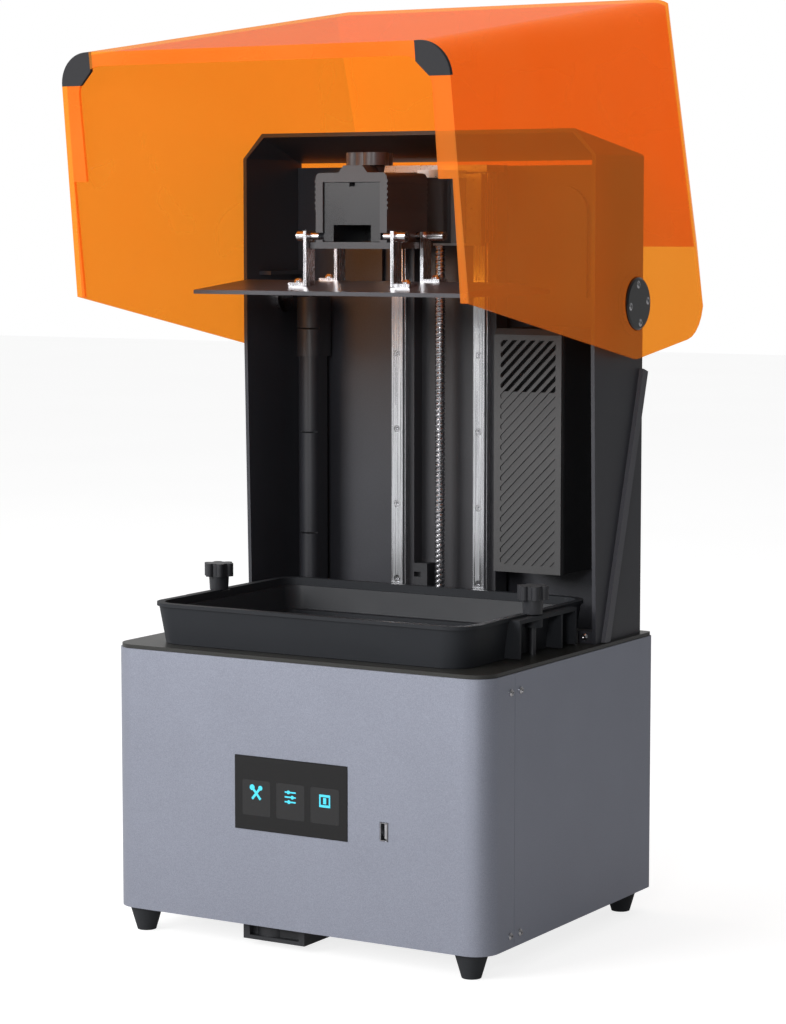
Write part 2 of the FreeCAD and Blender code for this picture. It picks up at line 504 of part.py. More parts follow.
def make_carriage():
    nut_bore = cyl(SCREW_R + RUN, 100, (0, AXIS_Y, 500))
    blocks = []
    for side in (-1, 1):
        block = box(side * RAIL_X - 10, side * RAIL_X + 10, AXIS_Y - 13, AXIS_Y + 1.5, 522, 572)
        way = box(side * RAIL_X - 5.3, side * RAIL_X + 5.3, AXIS_Y - 4.3, AXIS_Y + 5, 500, 600)
        blocks.append(block.cut(way))
    keep("rail_blocks", Part.makeCompound(blocks))
    plate = box(-CHANNEL_HW + 1, CHANNEL_HW - 1, AXIS_Y - 19, AXIS_Y - 13.05, 520, 575)
    flag = box(6, 30, 36, AXIS_Y - 13.05, 572.1, 577.8).cut(box(5, 12, 35, 61, 572, 575))
    keep("carriage_plate", fuse([plate, flag]).cut(box(-13, 13, AXIS_Y - 20, AXIS_Y - 10, 538, 560)))
    nut = cyl(9.0, 12, (0, AXIS_Y, 543)).fuse(box(-12.6, 12.6, AXIS_Y - 17, AXIS_Y, 540.5, 557.5))
    keep("lead_nut", nut.cut(nut_bore).removeSplitter())

    # black arm: deep block bolted to the carriage, narrowing to the tongue that carries the plate
    root = box(-ARM_HW, ARM_HW, SLEEVE_REAR + 0.4, 39, 525, 571)
    neck = box(-34, 34, 38.9, AXIS_Y - 19.05, 522, 572)
    tongue = box(-TONGUE_HW, TONGUE_HW, SLEEVE_FRONT + 1.6, SLEEVE_REAR + 0.5, TONGUE_BOTTOM, TONGUE_TOP)
    pocket = box(-16.3, 16.3, SLEEVE_FRONT, 0, TONGUE_BOTTOM - 1, 536)
    mark = box(-2.5, 2.5, SLEEVE_FRONT, SLEEVE_FRONT + 8, TONGUE_TOP - 3, TONGUE_TOP + 1)
    keep("lift_arm", cut(fuse([root, neck, tongue]), [pocket, mark]))

    # sleeve with finger ribs that slides over the tongue
    body = box(-ARM_HW, ARM_HW, SLEEVE_FRONT, SLEEVE_REAR, ARM_BOTTOM, ARM_TOP)
    body = body.makeFillet(4.0, [e for e in body.Edges if abs(e.Vertexes[0].Y - e.Vertexes[-1].Y) > 10
                                 and e.CenterOfMass.z > 560])
    crown = front_prism([(-12, ARM_TOP - 1), (-6.5, 580.0), (9.5, 580.0), (15, ARM_TOP - 1)],
                        SLEEVE_FRONT, SLEEVE_REAR)
    crown = crown.cut(box(-30, 30, KNOB_Y - 11, SLEEVE_REAR + 1, ARM_TOP, 600))
    skirt = box(-36.2, 36.2, SLEEVE_FRONT, SLEEVE_REAR, ARM_BOTTOM, ARM_BOTTOM + 4.6)
    ribs = []
    for row in range(6):
        z = 547.5 + row * 4.0
        for side in (-1, 1):
            ribs.append(box(side * ARM_HW - 0.8, side * ARM_HW + 0.8, SLEEVE_FRONT, SLEEVE_REAR, z, z + 1.8))
    bore = box(-TONGUE_HW - CLEAR, TONGUE_HW + CLEAR, SLEEVE_FRONT - 1, SLEEVE_REAR + 1,
               TONGUE_BOTTOM - CLEAR, TONGUE_TOP + CLEAR)
    knob_hole = cyl(4.0 + RUN, 30, (0, KNOB_Y, 560))
    screw_holes = [cyl(3.0, 100, (-50, y, 527.6), (1, 0, 0)) for y in BRACKET_Y]
    keep("plate_sleeve", cut(fuse([body, crown, skirt] + ribs), [bore, knob_hole] + screw_holes))

    lobes = [cyl(13.0, 9.5, (0, KNOB_Y, 580.4))]
    for i in range(3):
        a = math.radians(120 * i + 75)
        lobes.append(cyl(8.6, 9.5, (10.6 * math.cos(a), KNOB_Y + 10.6 * math.sin(a), 580.4)))
    collar = cone(9.4, 10.6, 5.1, (0, KNOB_Y, ARM_TOP + 0.5))
    stud = cyl(4.0, ARM_TOP - TONGUE_TOP + 0.3, (0, KNOB_Y, TONGUE_TOP + 0.4))
    keep("clamp_knob", fuse(lobes + [collar, stud]))


def make_build_plate():
    z0, z1 = PLATE_Z, PLATE_Z + PLATE_RIM
    ridge_y = PLATE_FRONT + 72.0
    profile = [(PLATE_FRONT, z0), (PLATE_REAR, z0), (PLATE_REAR, z1), (ridge_y, z1 + PLATE_RIDGE),
               (PLATE_FRONT, z1)]
    slab = side_prism(profile, -PLATE_HW, PLATE_HW)
    keep("build_plate", slab)

    def roof(y):
        """Height of the sloping plate top at a given depth."""
        if y < ridge_y:
            return z1 + PLATE_RIDGE * (y - PLATE_FRONT) / (ridge_y - PLATE_FRONT)
        return z1 + PLATE_RIDGE * (PLATE_REAR - y) / (PLATE_REAR - ridge_y)

    brackets, feet_screws, pins = [], [], []
    for y in BRACKET_Y:
        top = 531.6 if y < -30 else 530.8
        low = roof(y - 5) if y < -30 else roof(y)
        for side in (-1, 1):
            leg = box(BRACKET_X - 1.3, BRACKET_X + 1.3, y - 6, y + 6, low + 0.3, top)
            foot = box(BRACKET_X - 1.3, BRACKET_X + 15, y - 6, y + 6, low + 0.3, low + 2.7)
            slot = box(BRACKET_X - 5, BRACKET_X + 5, y - 2.6, y + 2.6, 524.0, 530.2)
            pad = box(BRACKET_X + 2, BRACKET_X + 14, y - 5.9, y + 5.9, roof(y) - 1.4, low + 0.4)
            plate_top = side_prism([(PLATE_FRONT, z0 - 5), (PLATE_REAR, z0 - 5), (PLATE_REAR, z1 + 0.02),
                                    (ridge_y, z1 + PLATE_RIDGE + 0.02), (PLATE_FRONT, z1 + 0.02)], -200, 200)
            piece = fuse([leg, foot, pad]).cut(slot).cut(plate_top)
            screw = button_screw((BRACKET_X + 9, y, low + 2.75), (0, 0, 1), head_r=3.6, head_h=3.0, shank_h=2.2)
            reach = BRACKET_X + 1.32
            head = cyl(3.7, 8.0 if y < -30 else 15.0, (reach, y, 527.6), (1, 0, 0))
            head = head.cut(cyl(1.9, 4.0, (reach + (4.5 if y < -30 else 11.5), y, 527.6), (1, 0, 0)))
            shank = cyl(2.5, 12, (reach - 11, y, 527.6), (1, 0, 0))
            pin = fuse([head, shank])
            for store, item in ((brackets, piece), (feet_screws, screw), (pins, pin)):
                store.append(item if side > 0 else mirrored(item))
    brackets = [b.cut(Part.makeCompound(feet_screws)) for b in brackets]
    keep("plate_brackets", Part.makeCompound(brackets))
    keep("leveling_screws", Part.makeCompound(feet_screws + pins))


# ---------------------------------------------------------------- vat
WINDOW_X, WINDOW_Y = 121.5, 75.0


def vat_block(inset, z0, z1, draft=0.0):
    """Rounded block of the vat outline, narrowing downwards by the draft."""
    top = [VAT_HW - inset, VAT_FRONT + inset, VAT_REAR - inset]
    sections = []
    for z, d in ((z0, draft), (z1, 0.0)):
        flat = rounded(-top[0] + d, top[0] - d, top[1] + d, top[2] - d, z, z + 1,
                       (max(VAT_R - inset, 3),) * 4)
        face = [f for f in flat.Faces if abs(f.CenterOfMass.z - z) < 1e-6][0]
        sections.append(face.OuterWire)
    return Part.makeLoft(sections, True, True)


def make_vat():
    outer = vat_block(0, VAT_FOOT, VAT_TOP, 4.0)
    rim = vat_block(-1.2, VAT_TOP - 2.6, VAT_TOP)
    ears = []
    for side in (-1, 1):
        x0, x1 = sorted((side * (VAT_HW - 9), side * EAR_X))
        ears.append(box(x0, x1, EAR_FRONT, EAR_REAR, VAT_TOP - 4.4, VAT_TOP - 1.6))
        for y in (EAR_FRONT, 8.0, EAR_REAR - 2.4):
            ears.append(box(x0, x1, y, y + 2.4, VAT_FOOT + 1, VAT_TOP - 4.2))
        ears.append(cyl(7.4, 9.0, (side * KNOB_X, WORK_Y, VAT_TOP - 10.4)))
    solid = fuse([outer, rim] + ears)
    cavity = vat_block(8.0, VAT_FOOT + 7.0, VAT_TOP - 5.9, 6.0)
    pour = vat_block(5.0, VAT_TOP - 6.0, VAT_TOP + 1.0)
    window = rounded(-WINDOW_X, WINDOW_X, WORK_Y - WINDOW_Y, WORK_Y + WINDOW_Y, 210, 240, (8, 8, 8, 8))
    rebate = rounded(-WINDOW_X - 7, WINDOW_X + 7, WORK_Y - WINDOW_Y - 7, WORK_Y + WINDOW_Y + 7,
                     210, VAT_FOOT + 2.4, (12, 12, 12, 12))
    tools = [cavity, pour, window, rebate]
    for side in (-1, 1):
        tools.append(cyl(2.5 + RUN, 60, (side * KNOB_X, WORK_Y, 215)))
        tools.append(cyl(9.0, 12, (side * KNOB_X, WORK_Y, VAT_TOP - 1.6)))
        x0, x1 = sorted((side * (VAT_HW - 6.0), side * 200))
        tools.append(box(x0, x1, WORK_Y - 7, WORK_Y + 7, 210, VAT_TOP - 10.4))
    for tool in tools:
        solid = solid.cut(tool)
    keep("vat", solid.removeSplitter())

    ring = rounded(-WINDOW_X - 6.6, WINDOW_X + 6.6, WORK_Y - WINDOW_Y - 6.6, WORK_Y + WINDOW_Y + 6.6,
                   VAT_FOOT, VAT_FOOT + 2.0, (11, 11, 11, 11)).cut(window)
    keep("film_frame", ring)
    film = rounded(-WINDOW_X - 5, WINDOW_X + 5, WORK_Y - WINDOW_Y - 5, WORK_Y + WINDOW_Y + 5,
                   VAT_FOOT + 2.02, VAT_FOOT + 2.36, (10, 10, 10, 10))
    keep("release_film", film)

    for name, side in (("vat_knob_left", -1), ("vat_knob_right", 1)):
        x = side * KNOB_X
        parts = [cyl(8.6, 10.2, (x, WORK_Y, 262.0)), cone(7.2, 7.9, 10.8, (x, WORK_Y, VAT_TOP - 0.7))]
        for i in range(6):
            a = math.radians(60 * i + 10)
            parts.append(cyl(3.2, 10.2, (x + 8.8 * math.cos(a), WORK_Y + 8.8 * math.sin(a), 262.0)))
        parts.append(cyl(2.5, VAT_TOP - DECK_TOP + 6, (x, WORK_Y, DECK_TOP - 6.5)))
        keep(name, fuse(parts))


# ---------------------------------------------------------------- flip-up cover (drawn closed)
LID_FRONT_R = 24.0
LID_SIDE_R = 114.1         # distance of the upper side edges from the hinge axis
LID_ROOF_HW = 151.5        # half width of the flat roof
LID_LEAN = 0.008           # the front face leans forward a little


def lid_body(inset):
    """Convex outer (inset 0) or inner form of the closed cover, before its rear is trimmed."""
    body = box(-190, 190, -160, 160, LID_BOTTOM - (40 if inset else 0), 680)
    slope_n = V(0, -math.sin(LID_SLOPE), math.cos(LID_SLOPE))
    hinge = V(0, HINGE_Y, HINGE_Z)
    tools = [half_space(tuple(hinge + slope_n * (LID_ROOF_R - inset)), tuple(slope_n))]
    tools.append(half_space((0, LID_FRONT + inset, LID_BOTTOM), (0, -1, -LID_LEAN)))
    for side in (-1, 1):
        normal = V(side, -LID_FLARE, 0)
        tools.append(half_space((side * (LID_HW - inset), LID_FRONT, LID_BOTTOM), tuple(normal)))
        low = V(side * (LID_HW + 3.6), 0, 0) + hinge + slope_n * LID_SIDE_R
        high = V(side * LID_ROOF_HW, 0, 0) + hinge + slope_n * LID_ROOF_R
        across = high - low
        along = V(0, math.cos(LID_SLOPE), math.sin(LID_SLOPE))
        chamfer_n = across.cross(along) if side < 0 else along.cross(across)
        chamfer_n.normalize()
        if chamfer_n.z < 0:
            chamfer_n = chamfer_n * -1
        tools.append(half_space(tuple(low - chamfer_n * inset), tuple(chamfer_n)))
    for tool in tools:
        body = body.cut(tool)
    edges = []
    for edge in body.Edges:
        a, b = edge.Vertexes[0].Point, edge.Vertexes[-1].Point
        upright = abs(a.z - b.z) > 150 and abs(a.x - b.x) < 20
        if upright and max(a.y, b.y) < LID_FRONT + 12:
            edges.append(edge)
    return body.makeFillet(LID_FRONT_R - inset, edges)


def lid_side_outline():
    """(y, z) outline of the cover's side, from the front foot round to the rear foot."""
    slope = math.tan(LID_SLOPE)
    roof_y = 58.5
    roof_z = HINGE_Z + LID_ROOF_R / math.cos(LID_SLOPE) + (roof_y - HINGE_Y) * slope + 5
    points = [(-180.0, 100.0), (-180.0, 700.0), (roof_y, 700.0), (roof_y, roof_z), (103.3, 594.3)]
    centre_y, centre_z, radius = 98.0, 560.0, 34.6
    for step in range(7):
        a = math.radians(80 - step * 80 / 6)
        points.append((centre_y + radius * math.cos(a), centre_z + radius * math.sin(a)))
    for step in range(4):
        a = math.radians(-step * 18 / 3)
        points.append((122.6 + 10 * math.cos(a), 471.0 + 10 * math.sin(a)))
    foot_y, foot_z = 51.0, 221.2
    last_y, last_z = points[-1]
    slide = (foot_z - 100.0) / (last_z - foot_z)
    points.append((foot_y - (last_y - foot_y) * slide, 100.0))
    return points


def make_lid():
    outer = lid_body(0)
    outline = side_prism(lid_side_outline(), -200, 200)
    shell = outer.common(outline).cut(lid_body(LID_WALL))
    disc_holes = [cyl(20.6, 20, (s * 155, HINGE_Y, HINGE_Z), (s, 0, 0)) for s in (-1, 1)]

    slab = outer.common(outline).common(box(-200, 200, -200, 200, LID_BOTTOM, LID_BOTTOM + LID_WALL))
    wide = rounded(-LID_HW + 14, LID_HW - 14, LID_FRONT + 10, -20, 200, 240, (22, 22, 0, 0))
    narrow = box(-LID_HW + 2.8, LID_HW - 2.8, -34, 120, 200, 240)
    lip = slab.cut(wide).cut(narrow)
    pads = []
    for side in (-1, 1):
        x0, x1 = sorted((side * (LID_HW - 26), side * 200))
        corner = box(x0, x1, -200, LID_FRONT + 24, LID_BOTTOM - 1, LID_BOTTOM + 3.2)
        pad = outer.common(corner)
        inner_x = side * (LID_HW - 26)
        cut_corner = prism([(inner_x - side * 1, LID_FRONT + 25, 200), (inner_x - side * 1, LID_FRONT + 13, 200),
                            (inner_x + side * 11, LID_FRONT + 25, 200)], (0, 0, 60))
        pads.append(pad.cut(cut_corner))
    shell = fuse([shell, lip])
    shell = cut(shell, pads + disc_holes)
    keep("lid_shell", opened(shell))
    keep("lid_corner_pads", opened(Part.makeCompound(pads)))

    discs, screws, pins = [], [], []
    for side in (-1, 1):
        at = (side * 164.9, HINGE_Y, HINGE_Z)
        disc = cyl(20.0, 3.0, at, (side, 0, 0))
        dome = cone(20.0, 18.6, 0.9, (side * 167.9, HINGE_Y, HINGE_Z), (side, 0, 0))
        flange = cyl(24.0, 0.9, (side * 162.9, HINGE_Y, HINGE_Z), (side, 0, 0))
        disc = fuse([disc, dome, cyl(20.0, 2.2, (side * 162.9, HINGE_Y, HINGE_Z), (side, 0, 0)), flange])
        bore = cyl(6.0 + RUN, 4.6, (side * 162.8, HINGE_Y, HINGE_Z), (side, 0, 0))
        local = []
        for i in range(4):
            a = math.radians(90 * i)
            centre = (side * 168.2, HINGE_Y + 14.6 * math.cos(a), HINGE_Z + 14.6 * math.sin(a))
            local.append(button_screw(centre, (side, 0, 0), head_r=3.0, head_h=1.2, shank_h=3.0, hex_r=1.3))
        disc = cut(disc, [bore] + [s.copy() for s in local])
        discs.append(disc)
        screws += local
        pin = cyl(5.98, 14.8, (side * 152.2, HINGE_Y, HINGE_Z), (side, 0, 0))
        washer = tube(10.0, 5.98, 5.4, (side * (TOWER_HW + 0.02), HINGE_Y, HINGE_Z), (side, 0, 0))
        head = cyl(11.0, 3.0, (side * 150.6, HINGE_Y, HINGE_Z), (side, 0, 0))
        pins.append(fuse([pin, washer, head]))
    keep("hinge_discs", opened(Part.makeCompound(discs)))
    keep("hinge_disc_screws", opened(Part.makeCompound(screws)))
    keep("hinge_pins", Part.makeCompound(pins))


# ---------------------------------------------------------------- air purifier
PUR = (62.5, 120.5, 56.6, 111.0, 270.0, 457.0)   # x0, x1, y0, y1, z0, z1
OPEN_SLOTS_Z = 409.0                             # above this the front slots go right through


def make_purifier():
    x0, x1, y0, y1, z0, z1 = PUR
    body = rounded(x0, x1, y0 + 4, y1, z0, z1, (3, 3, 3, 3))
    body = body.cut(box(x0 + 2.2, x1 - 2.2, y0 - 1, y1 - 2.2, z0 + 2.2, z1 - 2.2))
    ports = [box(x0 + 8 + i * 8, x0 + 11 + i * 8, y0 + 12, y1 - 6, z0 - 1, z0 + 4) for i in range(6)]
    fan_at = ((x0 + x1) / 2, y0 + 40, z0 + 30)
    frame = place_fan(fan_housing(25, 12, 23.5, 10), fan_at, (0, -1, 0))
    stay = box(x0 + 1, x1 - 1, y0 + 28, y0 + 30, z0 + 56, z0 + 60)
    shelf = box(x0 + 1, x1 - 1, y0 + 28, y0 + 40, z0 + 54.9, z0 + 57)
    keep("purifier_case", fuse([cut(body, ports), frame, stay, shelf]))
    front = prism([(x0, y0 + 4, z0), (x1, y0 + 4, z0), (x1, y0 + 4, z1), (x0, y0 + 4, z1)], (0, -4, 0))
    chamfer = 4.6
    front = front.cut(prism([(x0 - 1, y0 + 3.9, z1 + 0.1), (x0 - 1, y0 - 0.1, z1 + 0.1),
                             (x0 - 1, y0 - 0.1, z1 - chamfer)], (x1 - x0 + 2, 0, 0)))
    slots = []
    pitch = 7.9
    for row in range(-7, 23):
        start_z = z0 + 8 + row * pitch
        length = (x1 - x0 - 10) * 1.45
        slot = box(0, length, -2, 6, -1.5, 1.5)
        slot.rotate(V(0, 0, 0), V(0, 1, 0), -45)
        slot.translate(V(x0 + 5.5, y0, start_z))
        slots.append(slot)
    area = box(x0 + 5.5, x1 - 5.0, y0 - 3, y0 + 8, z0 + 6, z1 - chamfer - 4)
    shallow = box(x0, x1, y0 - 3, y0 + 0.8, z0, OPEN_SLOTS_Z)
    through = box(x0, x1, y0 - 3, y0 + 8, OPEN_SLOTS_Z, z1)
    for slot in slots:
        for zone in (shallow, through):
            groove = slot.common(area).common(zone)
            if groove.Volume > 4:
                front = front.cut(groove)
    keep("purifier_grille", front)
    keep("carbon_filter", box(x0 + 3, x1 - 3, y0 + 6, y0 + 22, z0 + 60, z1 - 3))
    keep("purifier_fan_rotor", place_fan(fan_rotor(22.6, 12, 9, 9), fan_at, (0, -1, 0)))


make_base()
make_deck()
make_front_controls()
make_light_engine()
make_electrics()
make_tower()
make_lift_axis()
make_carriage()
make_build_plate()
make_vat()
make_lid()
make_purifier()

for name, shape in NODES.items():
    if not shape.isValid() or not shape.Solids:
        print("CHECK", name, shape.isValid(), len(shape.Solids))
    shape.exportStep("parts/" + name + ".step")
print(len(NODES), "nodes")
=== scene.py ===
import math

import bmesh
import bpy
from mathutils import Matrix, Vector


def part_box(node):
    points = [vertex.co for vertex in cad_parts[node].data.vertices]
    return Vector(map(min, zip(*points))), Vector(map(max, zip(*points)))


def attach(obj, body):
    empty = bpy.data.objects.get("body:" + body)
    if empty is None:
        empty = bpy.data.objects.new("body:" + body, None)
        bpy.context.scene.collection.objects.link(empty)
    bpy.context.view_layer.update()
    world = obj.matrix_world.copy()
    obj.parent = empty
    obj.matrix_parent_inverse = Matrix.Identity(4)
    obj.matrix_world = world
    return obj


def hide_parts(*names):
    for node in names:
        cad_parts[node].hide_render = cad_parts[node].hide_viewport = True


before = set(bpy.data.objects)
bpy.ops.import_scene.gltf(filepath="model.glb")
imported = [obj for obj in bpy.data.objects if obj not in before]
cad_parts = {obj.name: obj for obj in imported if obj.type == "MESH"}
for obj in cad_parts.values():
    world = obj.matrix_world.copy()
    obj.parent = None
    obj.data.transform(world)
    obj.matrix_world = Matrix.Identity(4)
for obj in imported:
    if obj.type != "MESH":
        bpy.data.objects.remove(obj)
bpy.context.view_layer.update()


# ---------------------------------------------------------------- materials
def srgb(r, g, b):
    """Colour given as 0-255 screen values, as linear values."""
    out = []
    for v in (r, g, b):
        v = v / 255.0
        out.append(v / 12.92 if v <= 0.04045 else ((v + 0.055) / 1.055) ** 2.4)
    return (out[0], out[1], out[2], 1.0)


class Maker:
    """A small helper that builds one node material."""

    def __init__(self, name):
        self.mat = bpy.data.materials.new(name)
        self.mat.use_nodes = True
        self.tree = self.mat.node_tree
        self.bsdf = self.tree.nodes["Principled BSDF"]
        self.out = self.tree.nodes["Material Output"]
        self.coord = self.tree.nodes.new("ShaderNodeTexCoord").outputs["Object"]

    def link(self, a, b):
        self.tree.links.new(a, b)

    def noise(self, size, detail=3.0, stretch=(1, 1, 1)):
        """Noise with features about size metres across."""
        mapping = self.tree.nodes.new("ShaderNodeMapping")
        mapping.inputs["Scale"].default_value = [s / size for s in stretch]
        self.link(self.coord, mapping.inputs["Vector"])
        node = self.tree.nodes.new("ShaderNodeTexNoise")
        node.inputs["Scale"].default_value = 1.0
        node.inputs["Detail"].default_value = detail
        self.link(mapping.outputs["Vector"], node.inputs["Vector"])
        return node.outputs["Fac"]

    def ramp(self, fac, low, high, start=0.35, end=0.65):
        node = self.tree.nodes.new("ShaderNodeValToRGB")
        node.color_ramp.elements[0].position = start
        node.color_ramp.elements[1].position = end
        node.color_ramp.elements[0].color = low
        node.color_ramp.elements[1].color = high
        self.link(fac, node.inputs["Fac"])
        return node.outputs["Color"]

    def span(self, fac, low, high, start=0.3, end=0.7):
        node = self.tree.nodes.new("ShaderNodeMapRange")
        for key, value in (("From Min", start), ("From Max", end), ("To Min", low), ("To Max", high)):
            node.inputs[key].default_value = value
        self.link(fac, node.inputs["Value"])
        return node.outputs["Result"]

    def mix(self, fac, a, b, mode="MIX"):
        node = self.tree.nodes.new("ShaderNodeMix")
        node.data_type = "RGBA"
        node.blend_type = mode
        for socket, value in ((node.inputs[0], fac), (node.inputs[6], a), (node.inputs[7], b)):
            if isinstance(value, (float, int, tuple)):
                socket.default_value = value
            else:
                self.link(value, socket)
        return node.outputs[2]

    def bump(self, height, strength, distance):
        node = self.tree.nodes.new("ShaderNodeBump")
        node.inputs["Strength"].default_value = strength
        node.inputs["Distance"].default_value = distance
        self.link(height, node.inputs["Height"])
        self.link(node.outputs["Normal"], self.bsdf.inputs["Normal"])

    def see_through(self, share, tint=(1.0, 1.0, 1.0, 1.0)):
        """Show the shader by this share and what lies behind, tinted, by the rest."""
        clear = self.tree.nodes.new("ShaderNodeBsdfTransparent")
        clear.inputs["Color"].default_value = tint
        mixer = self.tree.nodes.new("ShaderNodeMixShader")
        mixer.inputs["Fac"].default_value = share
        self.link(clear.outputs["BSDF"], mixer.inputs[1])
        self.link(self.bsdf.outputs["BSDF"], mixer.inputs[2])
        self.link(mixer.outputs["Shader"], self.out.inputs["Surface"])

    def put(self, **values):
        for key, value in values.items():
            socket = self.bsdf.inputs[key.replace("_", " ")]
            if isinstance(value, (float, int, tuple)):
                socket.default_value = value
            else:
                self.link(value, socket)


def shade(colour, k):
    return (min(colour[0] * k, 1), min(colour[1] * k, 1), min(colour[2] * k, 1), 1.0)


def moulded(name, rgb, rough=0.5, grain=0.0006, depth=0.00004, spread=0.18, coat=0.0, gloss=0.5):
    """Moulded plastic or powder coat: fine grain, faint patches and uneven gloss."""
    m = Maker(name)
    base = srgb(*rgb)
    fine, broad = m.noise(grain, 4.0), m.noise(0.045, 3.0)
    speck = m.ramp(fine, shade(base, 1 - spread), shade(base, 1 + spread))
    m.put(Base_Color=m.mix(0.35, speck, m.ramp(broad, shade(base, 0.88), shade(base, 1.12))))
    m.put(Roughness=m.span(m.mix(0.5, fine, broad), rough - 0.06, rough + 0.07))
    m.put(Coat_Weight=coat, Coat_Roughness=0.12, Specular_IOR_Level=gloss)
    m.bump(fine, 0.5, depth)
    return m.mat


def metallic_paint(name, rgb):
    """Silvery blue-grey paint with fine metal flake."""
    m = Maker(name)
    base = srgb(*rgb)
    flake, broad = m.noise(0.00045, 2.0), m.noise(0.06, 2.0)
    fleck = m.ramp(flake, shade(base, 0.80), shade(base, 1.26), 0.30, 0.72)
    m.put(Base_Color=m.mix(0.25, fleck, m.ramp(broad, shade(base, 0.93), shade(base, 1.06))))
    m.put(Metallic=0.55, Roughness=m.span(flake, 0.34, 0.50), Coat_Weight=0.15, Coat_Roughness=0.25)
    m.bump(flake, 0.35, 0.00003)
    return m.mat


def metal(name, rgb, rough=0.25, stretch=(1, 1, 1), size=0.0012, wear=0.12):
    """Bare metal with machining or brushing marks along the short stretch axis."""
    m = Maker(name)
    base = srgb(*rgb)
    lines, broad = m.noise(size, 3.0, stretch), m.noise(0.02, 2.0)
    marks = m.ramp(lines, shade(base, 1 - wear), shade(base, 1 + wear))
    m.put(Base_Color=m.mix(0.3, marks, m.ramp(broad, shade(base, 0.9), shade(base, 1.05))))
    m.put(Metallic=1.0, Roughness=m.span(lines, rough - 0.07, rough + 0.12))
    m.bump(lines, 0.3, 0.00003)
    return m.mat


SHEET_TINT = (1.0, 0.60, 0.16, 1.0)
SHEET_SHARE = 0.30
# painted glow: the orange cover sheet gives off a small constant light though it is no lamp
SHEET_PAINTED_GLOW = (0.95, 0.30, 0.035, 1.0)
SHEET_PAINTED_GLOW_STRENGTH = 0.22  # chosen, stands in for light scattered inside the sheet


def acrylic(name):
    """Orange see-through sheet: it tints what is behind it and has a small constant painted glow."""
    m = Maker(name)
    deep, pale = srgb(255, 150, 60), srgb(255, 164, 76)
    broad, haze = m.noise(0.08, 2.0), m.noise(0.002, 2.0)
    m.put(Base_Color=m.ramp(broad, deep, pale, 0.3, 0.7), Roughness=m.span(haze, 0.05, 0.10))
    # painted glow: constant emission on the sheet, not a lamp
    m.put(Specular_IOR_Level=0.1, Emission_Color=SHEET_PAINTED_GLOW,
          Emission_Strength=SHEET_PAINTED_GLOW_STRENGTH)
    m.bump(broad, 0.15, 0.0002)
    m.see_through(SHEET_SHARE, SHEET_TINT)
    return m.mat


def clear_sheet(name, rgb, share):
    """Thin clear film or glass with faint smears."""
    m = Maker(name)
    base = srgb(*rgb)
    smear = m.noise(0.03, 4.0)
    m.put(Base_Color=m.ramp(smear, shade(base, 0.85), base), Roughness=m.span(smear, 0.03, 0.16))
    m.see_through(share)
    return m.mat


def display(name, rgb, glow=0.0):
    """A lit or unlit area of the screen, with a fine pixel grain."""
    m = Maker(name)
    base = srgb(*rgb)
    grain = m.noise(0.0003, 1.0)
    colour = m.ramp(grain, shade(base, 0.9), shade(base, 1.08))
    m.put(Base_Color=colour, Roughness=m.span(grain, 0.06, 0.12), Emission_Color=colour)
    m.put(Emission_Strength=glow)
    return m.mat


def circuit(name):
    """Green solder mask with a pattern of copper tracks."""
    m = Maker(name)
    brick = m.tree.nodes.new("ShaderNodeTexBrick")
    mapping = m.tree.nodes.new("ShaderNodeMapping")
    mapping.inputs["Scale"].default_value = (120, 120, 120)
    m.link(m.coord, mapping.inputs["Vector"])
    m.link(mapping.outputs["Vector"], brick.inputs["Vector"])
    brick.inputs["Mortar Size"].default_value = 0.06
    brick.inputs["Color1"].default_value = srgb(16, 74, 40)
    brick.inputs["Color2"].default_value = srgb(20, 84, 48)
    brick.inputs["Mortar"].default_value = srgb(58, 120, 70)
    m.put(Base_Color=brick.outputs["Color"], Roughness=m.span(m.noise(0.001), 0.3, 0.45))
    return m.mat


